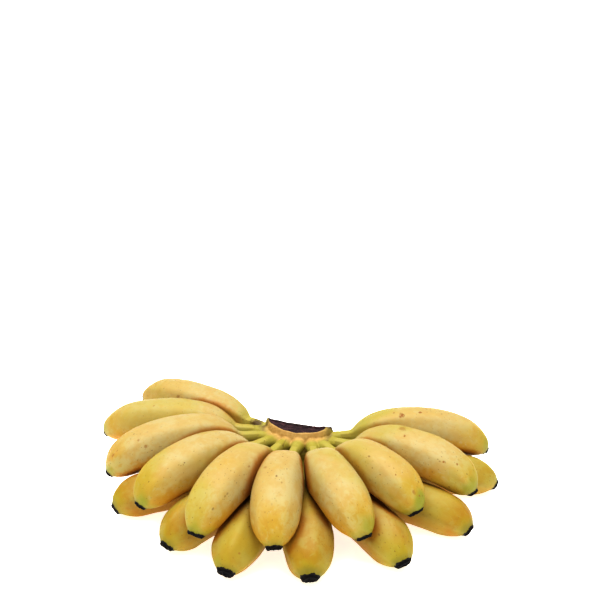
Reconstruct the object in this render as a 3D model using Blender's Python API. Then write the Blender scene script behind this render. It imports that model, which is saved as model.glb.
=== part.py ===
"""A hand of small dessert bananas, cut from its bunch and laid down on its lower fruits.

Two rows of fruits grow from one crown, the half-moon cushion that joined them to the bunch's
stalk. The ten upper fruits arch over the nine lower ones, and the lower ones carry the hand.

The frame: +Z is up, the middle of the fan points along -Y, and the origin is on the ground
below the middle of the whole hand. All lengths are in metres, and angles are in degrees.
"""

import collections
import math

import bpy
import numpy as np

# The middle of the crown in the frame
CROWN_X, CROWN_Y = 0.0004, 0.0475

# The stalks leave the crown in two rows, round two half ellipses: half width, depth, height, how
# far behind the crown's middle the ellipse has its own, and how much closer together the stalks
# are than the tips, as a share of their angle
ROOTS = {
    "upper": (0.0300, 0.0205, 0.0315, 0.003, 0.93),
    "lower": (0.0275, 0.0188, 0.0200, 0.002, 0.78),
}
# The upper stalks leave the crown this much higher than their arches do, and have come down to
# them by this share of the arch
STALK_LIFT, LIFTED_BY = 0.0045, 0.16

# Shape that every fruit shares
STALK_RADIUS = 0.0039
STALK_FLARE = 0.20         # how much thicker the stalk is where it meets the fruit
BELLY_AT = 0.50            # share of the fruit's length where it is thickest
SHOULDER_CURVE = (2.6, 0.58)       # powers that shape the blunt shoulder
END_CURVE = {"upper": (3.3, 0.52), "lower": (4.0, 0.50)}   # and the rounder far end
TIP_LENGTH = 0.0026        # the dried blossom
BEND_NEAR, BEND_FAR = 0.30, 0.72   # where along the fruit its arch is steered
# The end of a fruit bends down past this share of its arch, and hangs this much lower there
DROOPS_FROM, END_DROOP = 0.74, {"upper": 0.004, "lower": 0.008}
RIDGES = 5                 # soft edges that run along a fruit
RIDGE_DEPTH = 0.018        # their height as a share of the radius
SEAM = 0.0003              # gap that separate pieces keep to each other
CONTACT_GAP = 0.0004       # two pressed fruits stay about this far apart
PRESS = 0.0008             # how far the ground flattens a lower fruit's underside
SETTLED_BY = 0.4           # share of a lower fruit's arch over which it sinks to the ground

# The fineness of the mesh
FRUIT_SIDES, FRUIT_RINGS = 15, 18
TIP_SIDES = 8
CROWN_SIDES = 26
ARCH_POINTS, CURVE_POINTS = 400, 61
FOOT_POINTS = 6
HALVINGS = 12

Fruit = collections.namedtuple(
    "Fruit", "name row fan reach girth shoulder belly tip sweep stalk blossom")

# fan: direction of the tip seen from the crown, 0 in front and positive to the right
# reach: from the crown's middle to the tip, seen from above
# girth: thickness of the belly
# shoulder, belly: the two heights that steer the arch; tip: the height of the tip
# sweep: how far the arch bows sideways; stalk: the length of the stalk
# blossom: half the width of the blunt end that carries the dried blossom
UPPER_FRUITS = (
    (-104, 0.148, 0.033, 0.044, 0.0385, 0.0275, 0.000, 0.014, 0.0029),
    (-83, 0.1545, 0.034, 0.044, 0.0445, 0.0225, 0.000, 0.022, 0.0033),
    (-59, 0.144, 0.035, 0.050, 0.053, 0.0225, 0.000, 0.022, 0.0032),
    (-37, 0.137, 0.037, 0.045, 0.052, 0.0245, 0.000, 0.022, 0.0041),
    (-13, 0.136, 0.036, 0.044, 0.059, 0.0260, 0.000, 0.022, 0.0056),
    (11, 0.135, 0.037, 0.040, 0.059, 0.0270, -0.005, 0.022, 0.0050),
    (38, 0.131, 0.036, 0.042, 0.059, 0.0270, -0.009, 0.022, 0.0054),
    (58.5, 0.127, 0.035, 0.044, 0.058, 0.0285, -0.003, 0.022, 0.0056),
    (81, 0.143, 0.034, 0.048, 0.056, 0.0240, 0.000, 0.022, 0.0038),
    (106, 0.147, 0.033, 0.050, 0.0500, 0.0230, 0.000, 0.014, 0.0032),
)
# fan, reach, girth and blossom: the lower fruits share one arch and settle on the ground
LOWER_FRUITS = (
    (-99, 0.114, 0.030, 0.0040),
    (-75, 0.119, 0.031, 0.0042),
    (-50, 0.145, 0.034, 0.0040),
    (-24, 0.138, 0.036, 0.0046),
    (-2.5, 0.142, 0.036, 0.0056),
    (21, 0.141, 0.037, 0.0056),
    (48, 0.144, 0.035, 0.0056),
    (73, 0.150, 0.034, 0.0046),
    (98.5, 0.154, 0.033, 0.0042),
)
LOWER_SHOULDER, LOWER_BELLY, LOWER_TIP, LOWER_STALK = 0.022, 0.024, 0.0125, 0.022
# The crown's half-moon outline from the bottom up: height, half width, and how far it reaches
# in front of its middle, to its two ends and behind
CROWN_SECTIONS = (
    (0.0130, 0.0120, 0.0050, 0.0000, 0.0030),
    (0.0170, 0.0175, 0.0090, 0.0010, 0.0040),
    (0.0230, 0.0225, 0.0115, 0.0025, 0.0050),
    (0.0300, 0.0252, 0.0130, 0.0045, 0.0055),
    (0.0355, 0.0262, 0.0122, 0.0062, 0.0055),
    (0.0400, 0.0272, 0.0100, 0.0082, 0.0055),
    (0.0430, 0.0256, 0.0080, 0.0088, 0.0050),
)
HALF_MOON = 1.2            # over 1 draws the ends of the half moon to points
CUT_RIM = 0.0016           # width of the rind round the cut face
CUT_DEPTH = 0.0012         # how far the cut face has dried in
CUT_TILT = 3.0             # how far the cut face leans forward
FOOT_DEPTH = 0.0085        # how deep each stalk's foot is sunk into the crown
# The dried blossom: where its rings stand along it, its width at each as a share of the end of
# the fruit, and how uneven it is
TIP_STATIONS = (0.30, 0.75, 1.00)
TIP_WIDTHS = (0.92, 0.86, 0.94, 0.72)
TIP_WAVES = 0.06


def fruits():
    """Every fruit of the hand, in one list."""
    found = []
    for number, row in enumerate(UPPER_FRUITS, 1):
        found.append(Fruit(f"upper_{number:02d}", "upper", *row))
    arch = (LOWER_SHOULDER, LOWER_BELLY, LOWER_TIP, 0.0, LOWER_STALK)
    for number, (fan, reach, girth, blossom) in enumerate(LOWER_FRUITS, 1):
        found.append(Fruit(f"lower_{number:02d}", "lower", fan, reach, girth, *arch, blossom))
    return found


def heading(fan):
    """The level direction at an angle round the crown, 0 being -Y."""
    angle = math.radians(fan)
    return np.array([math.sin(angle), -math.cos(angle), 0.0])


def smooth_step(x):
    x = np.clip(x, 0, 1)
    return x * x * (3 - 2 * x)


def centreline(fruit):
    """Points, directions and lengths along a cubic arch from the crown to the tip."""
    half_width, depth, height, behind, closer = ROOTS[fruit.row]
    middle = np.array([CROWN_X, CROWN_Y, 0.0])
    root = middle + heading(closer * fruit.fan) * [half_width, depth, 0] + [0, behind, height]
    droop = END_DROOP[fruit.row]
    tip = middle + heading(fruit.fan) * fruit.reach + [0, 0, fruit.tip + droop]
    level = (tip - root) * [1, 1, 0]
    side = np.array([-level[1], level[0], 0]) / np.linalg.norm(level) * fruit.sweep
    first = root * [1, 1, 0] + level * BEND_NEAR + side + [0, 0, fruit.shoulder]
    second = root * [1, 1, 0] + level * BEND_FAR + side + [0, 0, fruit.belly]
    t = np.linspace(0, 1, ARCH_POINTS)[:, None]
    arch = (1 - t) ** 3 * root + 3 * (1 - t) ** 2 * t * first
    arch += 3 * (1 - t) * t ** 2 * second + t ** 3 * tip
    arch[:, 2] -= droop * (np.clip(t[:, 0] - DROOPS_FROM, 0, 1) / (1 - DROOPS_FROM)) ** 2
    if fruit.row == "upper":
        arch[:, 2] += STALK_LIFT * (1 - smooth_step(t[:, 0] / LIFTED_BY))
    else:
        along, _, length = even_steps(arch, ARCH_POINTS)
        half_side = math.pi / FRUIT_SIDES
        flat = math.cos(half_side) * (1 - RIDGE_DEPTH * math.cos(RIDGES * half_side))
        under = along[:, 2] - fruit_radius(length, fruit) * flat
        drop = under.min() + PRESS
        arch[:, 2] -= drop * smooth_step(t[:, 0] / SETTLED_BY)
    return even_steps(arch, CURVE_POINTS)


def even_steps(curve, count):
    """The curve again with even steps: its points, unit directions and lengths from the start."""
    travelled = np.concatenate([[0], np.cumsum(np.linalg.norm(np.diff(curve, axis=0), axis=1))])
    length = np.linspace(0, travelled[-1], count)
    points = along_curve(length, travelled, curve)
    ahead = np.gradient(points, length, axis=0)
    return points, ahead / np.linalg.norm(ahead, axis=1)[:, None], length


def fruit_radius(length, fruit):
    """Half thickness along a fruit: a thin stalk, a blunt shoulder, a full belly, a round end."""
    end = length[-1] - TIP_LENGTH
    t = np.clip((length - fruit.stalk) / (end - fruit.stalk), 0, 1)
    rise = 1 - np.clip(t / BELLY_AT, 0, 1)
    fall = np.clip((t - BELLY_AT) / (1 - BELLY_AT), 0, 1)
    near = (1 - rise ** SHOULDER_CURVE[0]) ** SHOULDER_CURVE[1]
    far = (1 - fall ** END_CURVE[fruit.row][0]) ** END_CURVE[fruit.row][1]
    body = fruit.girth / 2 * np.where(t < BELLY_AT, near, far)
    stalk = STALK_RADIUS * (1 + STALK_FLARE * np.clip(length / fruit.stalk, 0, 1))
    core = np.where(t < BELLY_AT, stalk, fruit.blossom * smooth_step(fall))
    return (core ** 3 + body ** 3) ** (1 / 3)


def station_lengths(total):
    """Places of a fruit's rings, closer together towards both ends."""
    s = np.linspace(0, 1, FRUIT_RINGS)
    return (total - TIP_LENGTH) * (0.5 * s + 0.25 * (1 - np.cos(math.pi * s)))


def fruit_rings(fruit):
    """Centres and outward arms of a fruit's rings, before any fruit presses on another."""
    points, ahead, length = centreline(fruit)
    at = station_lengths(length[-1])
    radius = np.interp(at, length, fruit_radius(length, fruit))
    # The ridges leave a flat side on top of an upper fruit, and under a lower one
    start = math.pi / 2 if fruit.row == "lower" else -math.pi / 2
    turn = 2 * math.pi / FRUIT_SIDES * np.arange(FRUIT_SIDES)
    section = 1 + RIDGE_DEPTH * np.cos(RIDGES * turn)
    arms = spokes(along_curve(at, length, ahead), start + turn)
    return along_curve(at, length, points), arms * (radius[:, None] * section)[:, :, None]


def along_curve(at, length, values):
    """A curve's points or directions at given lengths from its start."""
    return np.stack([np.interp(at, length, axis) for axis in values.T], 1)


def spokes(ahead, angles):
    """Unit vectors square to each direction of a curve, at angles that start level."""
    side = np.cross(ahead, [0, 0, 1.0])
    side /= np.linalg.norm(side, axis=1)[:, None]
    up = np.cross(side, ahead)
    return np.cos(angles)[:, None] * side[:, None] + np.sin(angles)[:, None] * up[:, None]


def nearness(places, points, radius):
    """Distance to a fruit's centreline as a share of its radius: 1 on its skin."""
    square = ((places[:, None] - points[None]) ** 2).sum(-1)
    return np.sqrt((square / radius ** 2).min(-1))


def press(centre, arm, own, others, own_share=None):
    """Draws a fruit's skin in where another fruit is nearer, so that both get a pressed face.

    A point stays outside the other fruit when its share of the other's radius is larger than
    its share of its own, which gives two neighbours the same face between them. A piece whose
    own share is fixed at 1 stays clear of the other's whole skin.
    """
    count = arm.shape[1]
    base = np.repeat(centre, count, 0)
    arm = arm.reshape(-1, 3)
    reach = np.ones(len(base))
    gap = CONTACT_GAP / np.linalg.norm(arm, axis=1)

    def free(rows, amount, other):
        place = base[rows] + amount[:, None] * arm[rows]
        mine = own_share if own_share else nearness(place, *own)
        return nearness(place, *other) > mine + gap[rows]

    for other in others:
        rows = np.arange(len(base))
        rows = rows[~free(rows, reach, other)]
        low, high = np.zeros(len(rows)), reach[rows]
        for _ in range(HALVINGS):
            middle = (low + high) / 2
            clear = free(rows, middle, other)
            low = np.where(clear, middle, low)
            high = np.where(clear, high, middle)
        reach[rows] = low
    return (base + reach[:, None] * arm).reshape(len(centre), count, 3)


def with_foot(fruit):
    """Points and radii along a fruit, begun inside the crown where its stalk is rooted."""
    points, ahead, length = centreline(fruit)
    back = np.linspace(FOOT_DEPTH, 0, FOOT_POINTS)[:-1, None]
    radius = fruit_radius(length, fruit)
    points = np.concatenate([points[0] - ahead[0] * back, points])
    return points, np.concatenate([np.full(len(back), radius[0]), radius])


def near_pairs(curves):
    """For each fruit, the others whose boxes meet its own."""
    boxes = {name: ((p - r[:, None]).min(0), (p + r[:, None]).max(0))
             for name, (p, r) in curves.items()}
    return {name: [other for other in curves if other != name
                   and (boxes[other][0] < boxes[name][1]).all()
                   and (boxes[other][1] > boxes[name][0]).all()]
            for name in curves}


def new_object(name, rings, material):
    """A closed object from rings of points, with a flat face at each end."""
    count, sides = rings.shape[:2]
    faces = []
    for ring in range(count - 1):
        for k in range(sides):
            near, far = ring * sides, (ring + 1) * sides
            faces.append((near + k, far + k, far + (k + 1) % sides, near + (k + 1) % sides))
    faces.append(tuple(range(sides)))
    faces.append(tuple(reversed(range((count - 1) * sides, count * sides))))
    mesh = bpy.data.meshes.new(name)
    mesh.from_pydata(rings.reshape(-1, 3).tolist(), [], faces)
    mesh.materials.append(material)
    mesh.shade_smooth()
    mesh.set_sharp_from_angle(angle=math.radians(50))
    mesh.validate()
    obj = bpy.data.objects.new(name, mesh)
    bpy.context.scene.collection.objects.link(obj)
    return obj


def tip_rings(fruit):
    """The dried blossom: a short, slightly flared stub in line with the fruit's end."""
    points, ahead, length = centreline(fruit)
    end = length[-1] - TIP_LENGTH
    at = end + np.array([SEAM, *(TIP_LENGTH * share for share in TIP_STATIONS)])
    turn = 2 * math.pi / TIP_SIDES * (np.arange(TIP_SIDES) + 0.5)
    wavy = 1 + TIP_WAVES * np.cos(3 * turn + fruit.fan)
    radius = np.interp(end, length, fruit_radius(length, fruit)) * np.array(TIP_WIDTHS)
    arms = spokes(np.repeat(ahead[-1:], len(at), 0), turn)
    return along_curve(at, length, points), arms * (radius[:, None] * wavy)[:, :, None]


def crown_rings():
    """The crown's rind as rings, ending with its rim and the sunken cut face."""
    angle = 2 * math.pi / CROWN_SIDES * np.arange(CROWN_SIDES)
    rings = []

    def ring(height, half_width, front, ends, back):
        bulge = np.abs(np.cos(angle)) ** HALF_MOON
        y = ends + np.where(np.cos(angle) > 0, -(front + ends), back - ends) * bulge
        lean = math.tan(math.radians(CUT_TILT)) * (height / CROWN_SECTIONS[-1][0]) ** 4
        z = height + y * lean
        return np.stack([CROWN_X + half_width * np.sin(angle), CROWN_Y + y, z], 1)

    for section in CROWN_SECTIONS:
        rings.append(ring(*section))
    height, half_width, front, ends, back = CROWN_SECTIONS[-1]
    rings.append(ring(height, half_width - 2 * CUT_RIM, front - CUT_RIM, ends - 2 * CUT_RIM,
                      back - CUT_RIM))
    rings.append(ring(height - CUT_DEPTH, half_width - 4 * CUT_RIM, front - 1.5 * CUT_RIM,
                      ends - 3 * CUT_RIM, back - 1.5 * CUT_RIM))
    return np.array(rings)[:, ::-1]


def build_crown(feet, material):
    """Fuses the feet of all the stalks to the crown."""
    crown = new_object("crown", crown_rings(), material)
    stubs = bpy.data.collections.new("stalk_feet")
    bpy.context.scene.collection.children.link(stubs)
    for number, rings in enumerate(feet):
        foot = new_object(f"foot_{number}", rings, material)
        bpy.context.scene.collection.objects.unlink(foot)
        stubs.objects.link(foot)
    join = crown.modifiers.new("join", "BOOLEAN")
    join.operation = "UNION"
    join.operand_type = "COLLECTION"
    join.collection = stubs
    bpy.context.view_layer.update()
    fused = bpy.data.meshes.new_from_object(crown.evaluated_get(
        bpy.context.evaluated_depsgraph_get()))
    crown.modifiers.clear()
    crown.data = fused
    fused.name = "crown"
    for foot in list(stubs.objects):
        bpy.data.objects.remove(foot)
    bpy.data.collections.remove(stubs)
    return crown


def finish(name, colour, roughness):
    """A plain non-metal material."""
    material = bpy.data.materials.new(name)
    material.use_nodes = True
    shader = material.node_tree.nodes["Principled BSDF"]
    shader.inputs["Base Color"].default_value = (*colour, 1)
    shader.inputs["Roughness"].default_value = roughness
    shader.inputs["Metallic"].default_value = 0.0
    material.diffuse_color = (*colour, 1)
    return material


def main():
    for obj in list(bpy.data.objects):
        bpy.data.objects.remove(obj)
    peel = finish("banana_peel", (0.78, 0.47, 0.06), 0.45)
    dried = finish("dried_blossom", (0.02, 0.014, 0.01), 0.8)
    rind = finish("crown_rind", (0.42, 0.26, 0.08), 0.6)

    hand = fruits()
    curves = {fruit.name: with_foot(fruit) for fruit in hand}
    touching = near_pairs(curves)

    feet = []
    for fruit in hand:
        others = [curves[name] for name in touching[fruit.name]]
        centre, arm = fruit_rings(fruit)
        rings = press(centre, arm, curves[fruit.name], others)
        rings[:, :, 2] = np.maximum(rings[:, :, 2], 0)
        new_object(f"banana_{fruit.name}", rings, peel)
        onward = (centre[1] - centre[0]) / np.linalg.norm(centre[1] - centre[0])
        back = np.array([FOOT_DEPTH, FOOT_DEPTH / 2, SEAM])[:, None]
        foot = np.repeat(arm[:1], len(back), 0)
        feet.append(press(centre[0] - onward * back, foot, curves[fruit.name], others))

        centre, arm = tip_rings(fruit)
        rings = press(centre, arm, curves[fruit.name], others, own_share=1.0)
        rings[:, :, 2] = np.maximum(rings[:, :, 2], SEAM)
        new_object(f"tip_{fruit.name}", rings, dried)
    build_crown(feet, rind)


main()
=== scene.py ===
# %% [markdown]
# # A hand of small bananas
#
# This lesson dresses a hand of small dessert bananas: two rows of plump fruits that fan out from
# one cut crown, lying on a pale table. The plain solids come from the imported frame. Each section
# below explains one piece or one finish, and then makes it from a formula.

# %% Load the frame
import collections
import math
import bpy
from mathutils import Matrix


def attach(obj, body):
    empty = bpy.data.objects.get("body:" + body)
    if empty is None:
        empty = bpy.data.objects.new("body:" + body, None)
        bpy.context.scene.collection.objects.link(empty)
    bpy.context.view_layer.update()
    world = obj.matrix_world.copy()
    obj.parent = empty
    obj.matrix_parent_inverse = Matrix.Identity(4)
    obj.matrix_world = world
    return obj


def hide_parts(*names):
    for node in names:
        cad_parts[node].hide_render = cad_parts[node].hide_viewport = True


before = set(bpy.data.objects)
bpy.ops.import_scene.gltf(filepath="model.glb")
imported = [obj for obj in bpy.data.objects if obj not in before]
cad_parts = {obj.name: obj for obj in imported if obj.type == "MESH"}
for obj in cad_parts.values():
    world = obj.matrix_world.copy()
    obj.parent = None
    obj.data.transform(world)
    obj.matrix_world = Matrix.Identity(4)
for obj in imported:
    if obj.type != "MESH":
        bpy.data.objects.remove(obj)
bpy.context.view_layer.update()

import types

import bpy
import numpy as np
from mathutils import Matrix

# %% [markdown]
# ## The numbers that drive the shape
#
# Every fruit is drawn from a few numbers: which row it is in, where its tip points, how far it
# reaches, how thick its belly is, how its arch rises and falls, how long its stalk is and how
# wide its blossom end is. The solids were drawn from the same numbers, so the fine surfaces made
# here follow them closely. Only the shoulders of the upper fruits begin a little sooner, and the
# skin is a hundredth thinner, which leaves room for its relief. All lengths are in metres.

# %% Driving dimensions
CROWN_X, CROWN_Y = 0.0004, 0.0475
# Where the stalks leave the crown: half width, depth, height, how far behind, share of the fan
ROOTS = {
    "upper": (0.0300, 0.0205, 0.0315, 0.003, 0.93),
    "lower": (0.0275, 0.0188, 0.0200, 0.002, 0.78),
}
STALK_LIFT, LIFTED_BY = 0.0045, 0.16   # upper stalks rise, over this share of the line

STALK_RADIUS, STALK_FLARE = 0.0039, 0.20
BELLY_AT = 0.50            # where the body is thickest, as a share of its length
SOONER = {"upper": 0.0028, "lower": 0.0}   # the peel swells out of the stalk before the solid does
SHOULDER_CURVE = (2.6, 0.58)
END_CURVE = {"upper": (3.3, 0.52), "lower": (4.0, 0.50)}
MELD = 3                   # how softly the stalk and the body melt into each other
TIP_LENGTH = 0.0026        # the room that a blossom stub has on the end of a fruit's line
BEND_NEAR, BEND_FAR = 0.30, 0.72
DROOPS_FROM, END_DROOP = 0.74, {"upper": 0.004, "lower": 0.008}
SETTLED_BY, PRESS = 0.4, 0.0008        # a lower fruit has sunk to the table by this share
UNDER_SHARE = 0.9694       # the flat underside of a lower fruit, as a share of its radius
FOOT_DEPTH, FOOT_STEPS = 0.0085, 6     # how far a stalk's root goes on inside the crown

Fruit = collections.namedtuple(
    "Fruit", "name row fan reach girth shoulder belly tip sweep stalk blossom")
# An angle in degrees, then lengths in metres, in the order of the names above
UPPER_FRUITS = (
    (-104, 0.148, 0.033, 0.044, 0.0385, 0.0275, 0.000, 0.014, 0.0029),
    (-83, 0.1545, 0.034, 0.044, 0.0445, 0.0225, 0.000, 0.022, 0.0033),
    (-59, 0.144, 0.035, 0.050, 0.053, 0.0225, 0.000, 0.022, 0.0032),
    (-37, 0.137, 0.037, 0.045, 0.052, 0.0245, 0.000, 0.022, 0.0041),
    (-13, 0.136, 0.036, 0.044, 0.059, 0.0260, 0.000, 0.022, 0.0056),
    (11, 0.135, 0.037, 0.040, 0.059, 0.0270, -0.005, 0.022, 0.0050),
    (38, 0.131, 0.036, 0.042, 0.059, 0.0270, -0.009, 0.022, 0.0054),
    (58.5, 0.127, 0.035, 0.044, 0.058, 0.0285, -0.003, 0.022, 0.0056),
    (81, 0.143, 0.034, 0.048, 0.056, 0.0240, 0.000, 0.022, 0.0038),
    (106, 0.147, 0.033, 0.050, 0.0500, 0.0230, 0.000, 0.014, 0.0032),
)
LOWER_FRUITS = (
    (-99, 0.114, 0.030, 0.0040),
    (-75, 0.119, 0.031, 0.0042),
    (-50, 0.145, 0.034, 0.0040),
    (-24, 0.138, 0.036, 0.0046),
    (-2.5, 0.142, 0.036, 0.0056),
    (21, 0.141, 0.037, 0.0056),
    (48, 0.144, 0.035, 0.0056),
    (73, 0.150, 0.034, 0.0046),
    (98.5, 0.154, 0.033, 0.0042),
)
LOWER_ARCH = (0.022, 0.024, 0.0125, 0.0, 0.022)

fruits = [Fruit(f"upper_{n:02d}", "upper", *row) for n, row in enumerate(UPPER_FRUITS, 1)]
fruits += [Fruit(f"lower_{n:02d}", "lower", *row[:3], *LOWER_ARCH, row[3])
           for n, row in enumerate(LOWER_FRUITS, 1)]
print("fruits:", len(fruits))

# %% [markdown]
# ## Soft unevenness
#
# Nothing that grows is perfectly smooth. A field of unevenness can be read from a noise texture,
# but a mesh made with numpy needs one that works on whole arrays. A sum of sine waves that run in
# random directions does that, and a seeded generator makes it the same on every run.

# %% Waves
WAVE_COUNT = 24
PACES = (0.6, 1.4)         # how the waves differ in length
WAVE_PEAK = 1.6            # brings most values within 1


def waves(places, size, seed):
    """Smooth values at each place, most of them between -1 and 1.

    The sum of sine waves with random directions and starts, each about size long, divided by
    the square root of half their number and by a peak value.
    """
    draw = np.random.default_rng(seed)
    direction = draw.normal(size=(WAVE_COUNT, 3))
    direction /= np.linalg.norm(direction, axis=1)[:, None]
    pace = 2 * math.pi / size * draw.uniform(*PACES, WAVE_COUNT)
    start = draw.uniform(0, 2 * math.pi, WAVE_COUNT)
    phase = places @ (direction * pace[:, None]).T + start
    return np.sin(phase).sum(-1) / math.sqrt(WAVE_COUNT / 2) / WAVE_PEAK


def smooth_step(x):
    """0 below 0, 1 above 1, and 3 x squared less 2 x cubed between."""
    x = np.clip(x, 0, 1)
    return x * x * (3 - 2 * x)


def rise(x, start, over):
    """A smooth step from 0 at start to 1 after a further length over."""
    return smooth_step((x - start) / over)


def bell(x, height, middle, width):
    """A bell: height times e to the power of less the square of the distance in widths."""
    return height * np.exp(-((x - middle) / width) ** 2)


sample = waves(np.random.default_rng(0).uniform(0, 1, (1000, 3)), 0.1, 0)
print("waves within 1:", round(100 * (abs(sample) < 1).mean()), "percent")

# %% [markdown]
# ## The line that a fruit follows
#
# A banana is a tube round a curved line. The line is a cubic arch with four points: the root on
# the crown, two points that lift it, and the tip. The last quarter droops, so that the blossom
# end looks down. A lower fruit then sinks until its underside just rests on the table, because
# its own weight and the fruits above press it down.

# %% Centrelines
ARCH_POINTS, CURVE_POINTS = 400, 61


def heading(fan):
    """The level direction at an angle round the crown: sine of it along X, less its cosine on Y."""
    angle = math.radians(fan)
    return np.array([math.sin(angle), -math.cos(angle), 0.0])


def along_curve(at, length, values):
    """A curve's points or directions at given lengths from its start, read between its points."""
    return np.stack([np.interp(at, length, axis) for axis in values.T], 1)


def even_steps(curve, count):
    """The curve again with even steps: its points, unit directions and lengths from the start."""
    travelled = np.concatenate([[0], np.cumsum(np.linalg.norm(np.diff(curve, axis=0), axis=1))])
    length = np.linspace(0, travelled[-1], count)
    points = along_curve(length, travelled, curve)
    ahead = np.gradient(points, length, axis=0)
    return points, ahead / np.linalg.norm(ahead, axis=1)[:, None], length


# %% Thickness along a fruit
def fruit_radius(length, fruit):
    """Half thickness along a fruit.

    A stalk that widens slowly, then a blunt shoulder (1 less a power of what is left to the
    belly, to another power), then the same rule with higher powers down to the blossom end.
    The two parts meet as the cube root of the sum of their cubes.
    """
    end = length[-1] - TIP_LENGTH
    begins = fruit.stalk - SOONER[fruit.row]
    t = np.clip((length - begins) / (end - begins), 0, 1)
    left = 1 - np.clip(t / BELLY_AT, 0, 1)
    fall = np.clip((t - BELLY_AT) / (1 - BELLY_AT), 0, 1)
    near = (1 - left ** SHOULDER_CURVE[0]) ** SHOULDER_CURVE[1]
    far = (1 - fall ** END_CURVE[fruit.row][0]) ** END_CURVE[fruit.row][1]
    body = fruit.girth / 2 * np.where(t < BELLY_AT, near, far)
    stalk = STALK_RADIUS * (1 + STALK_FLARE * np.clip(length / fruit.stalk, 0, 1))
    core = np.where(t < BELLY_AT, stalk, fruit.blossom * smooth_step(fall))
    return (core ** MELD + body ** MELD) ** (1 / MELD)


# %% Centreline of a fruit
def centreline(fruit):
    """Points, directions and lengths along a cubic arch from the crown to the tip.

    With t from 0 to 1: the root times (1 - t) cubed, the first lifting point times
    3 (1 - t) squared t, the second times 3 (1 - t) t squared, and the tip times t cubed.
    """
    half_width, depth, height, behind, closer = ROOTS[fruit.row]
    middle = np.array([CROWN_X, CROWN_Y, 0.0])
    root = middle + heading(closer * fruit.fan) * [half_width, depth, 0] + [0, behind, height]
    droop = END_DROOP[fruit.row]
    tip = middle + heading(fruit.fan) * fruit.reach + [0, 0, fruit.tip + droop]
    level = (tip - root) * [1, 1, 0]
    side = np.array([-level[1], level[0], 0]) / np.linalg.norm(level) * fruit.sweep
    first = root * [1, 1, 0] + level * BEND_NEAR + side + [0, 0, fruit.shoulder]
    second = root * [1, 1, 0] + level * BEND_FAR + side + [0, 0, fruit.belly]
    t = np.linspace(0, 1, ARCH_POINTS)[:, None]
    arch = (1 - t) ** 3 * root + 3 * (1 - t) ** 2 * t * first
    arch += 3 * (1 - t) * t ** 2 * second + t ** 3 * tip
    arch[:, 2] -= droop * (np.clip(t[:, 0] - DROOPS_FROM, 0, 1) / (1 - DROOPS_FROM)) ** 2
    if fruit.row == "upper":
        arch[:, 2] += STALK_LIFT * (1 - smooth_step(t[:, 0] / LIFTED_BY))
    else:
        along, _, length = even_steps(arch, ARCH_POINTS)
        drop = (along[:, 2] - fruit_radius(length, fruit) * UNDER_SHARE).min() + PRESS
        arch[:, 2] -= drop * smooth_step(t[:, 0] / SETTLED_BY)
    return even_steps(arch, CURVE_POINTS)


print("longest fruit:", round(max(centreline(f)[2][-1] for f in fruits) * 1000), "mm on its line")

# %% [markdown]
# ## Pressed faces
#
# In a crowded hand each fruit is flattened by its neighbours. Instead of a simulation, one rule
# gives both fruits the same face: a point belongs to the fruit whose skin it is nearer to, where
# nearness is the distance to a fruit's line divided by the fruit's radius there. A point of skin
# that belongs to the neighbour slides back towards its own line until it doesn't. The edge of a
# pressed face is rounded by a smooth minimum.

# %% The pressing rule
CONTACT_GAP = 0.0005
REACH_LIMIT = 1.25         # how far past its own skin a point looks for a neighbour
SOFT_EDGE = 0.13           # how wide the rounded edge of a pressed face is, in radii
HALVINGS = 11
CREVICE = 0.008            # a neighbour farther off than this isn't looked for
SHADE_WITHIN = 0.9              # the share of that distance within which the peel gets brown painted shade


def nearness(places, points, radius):
    """Distance to a fruit's line as a share of its radius: 1 on its skin."""
    square = (places ** 2).sum(1)[:, None] - 2 * places @ points.T + (points ** 2).sum(1)
    return np.sqrt(np.maximum(square / radius ** 2, 0).min(-1))


def smooth_minimum(a, b, width):
    """The lower of two values, rounded where they differ by less than width.

    With h the share of b in a mix, the mix less width times h times (1 - h).
    """
    h = np.clip(0.5 + 0.5 * (b - a) / width, 0, 1)
    return b * (1 - h) + a * h - width * h * (1 - h)


def pressed_reach(base, arm, own, others):
    """How far along its arm each skin point may stand, as a share of the arm, by halving."""
    reach = np.ones(len(base))
    gap = CONTACT_GAP / np.linalg.norm(arm, axis=1)
    for points, radius in others:
        low_box, high_box = (points - radius[:, None]).min(0), (points + radius[:, None]).max(0)
        place = base + REACH_LIMIT * arm
        rows = np.nonzero(((place > low_box) & (place < high_box)).all(1))[0]
        if not len(rows):
            continue
        far = nearness(place[rows], points, radius) <= nearness(place[rows], *own) + gap[rows]
        rows = rows[far]
        low, high = np.zeros(len(rows)), np.full(len(rows), REACH_LIMIT)
        for _ in range(HALVINGS):
            middle = (low + high) / 2
            place = base[rows] + middle[:, None] * arm[rows]
            clear = nearness(place, points, radius) > nearness(place, *own) + gap[rows]
            low, high = np.where(clear, middle, low), np.where(clear, high, middle)
        reach[rows] = smooth_minimum(reach[rows], low, SOFT_EDGE)
    return reach


# %% Room between the fruits
def clearance(places, others):
    """Distance from each point to the nearest skin of the others, by every second point of them."""
    nearest = np.full(len(places), CREVICE)
    for points, radius in others:
        low, high = (points - radius[:, None]).min(0), (points + radius[:, None]).max(0)
        rows = np.nonzero(((places > low - CREVICE) & (places < high + CREVICE)).all(1))[0]
        if len(rows):
            away = np.linalg.norm(places[rows][:, None] - points[::2], axis=2) - radius[::2]
            nearest[rows] = np.minimum(nearest[rows], away.min(-1))
    return np.maximum(nearest, 0)


def with_foot(fruit):
    """Points and radii along a fruit, begun inside the crown where its stalk is rooted."""
    points, ahead, length = centreline(fruit)
    back = np.linspace(FOOT_DEPTH, 0, FOOT_STEPS)[:-1, None]
    radius = fruit_radius(length, fruit)
    points = np.concatenate([points[0] - ahead[0] * back, points])
    return points, np.concatenate([np.full(len(back), radius[0]), radius])


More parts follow.
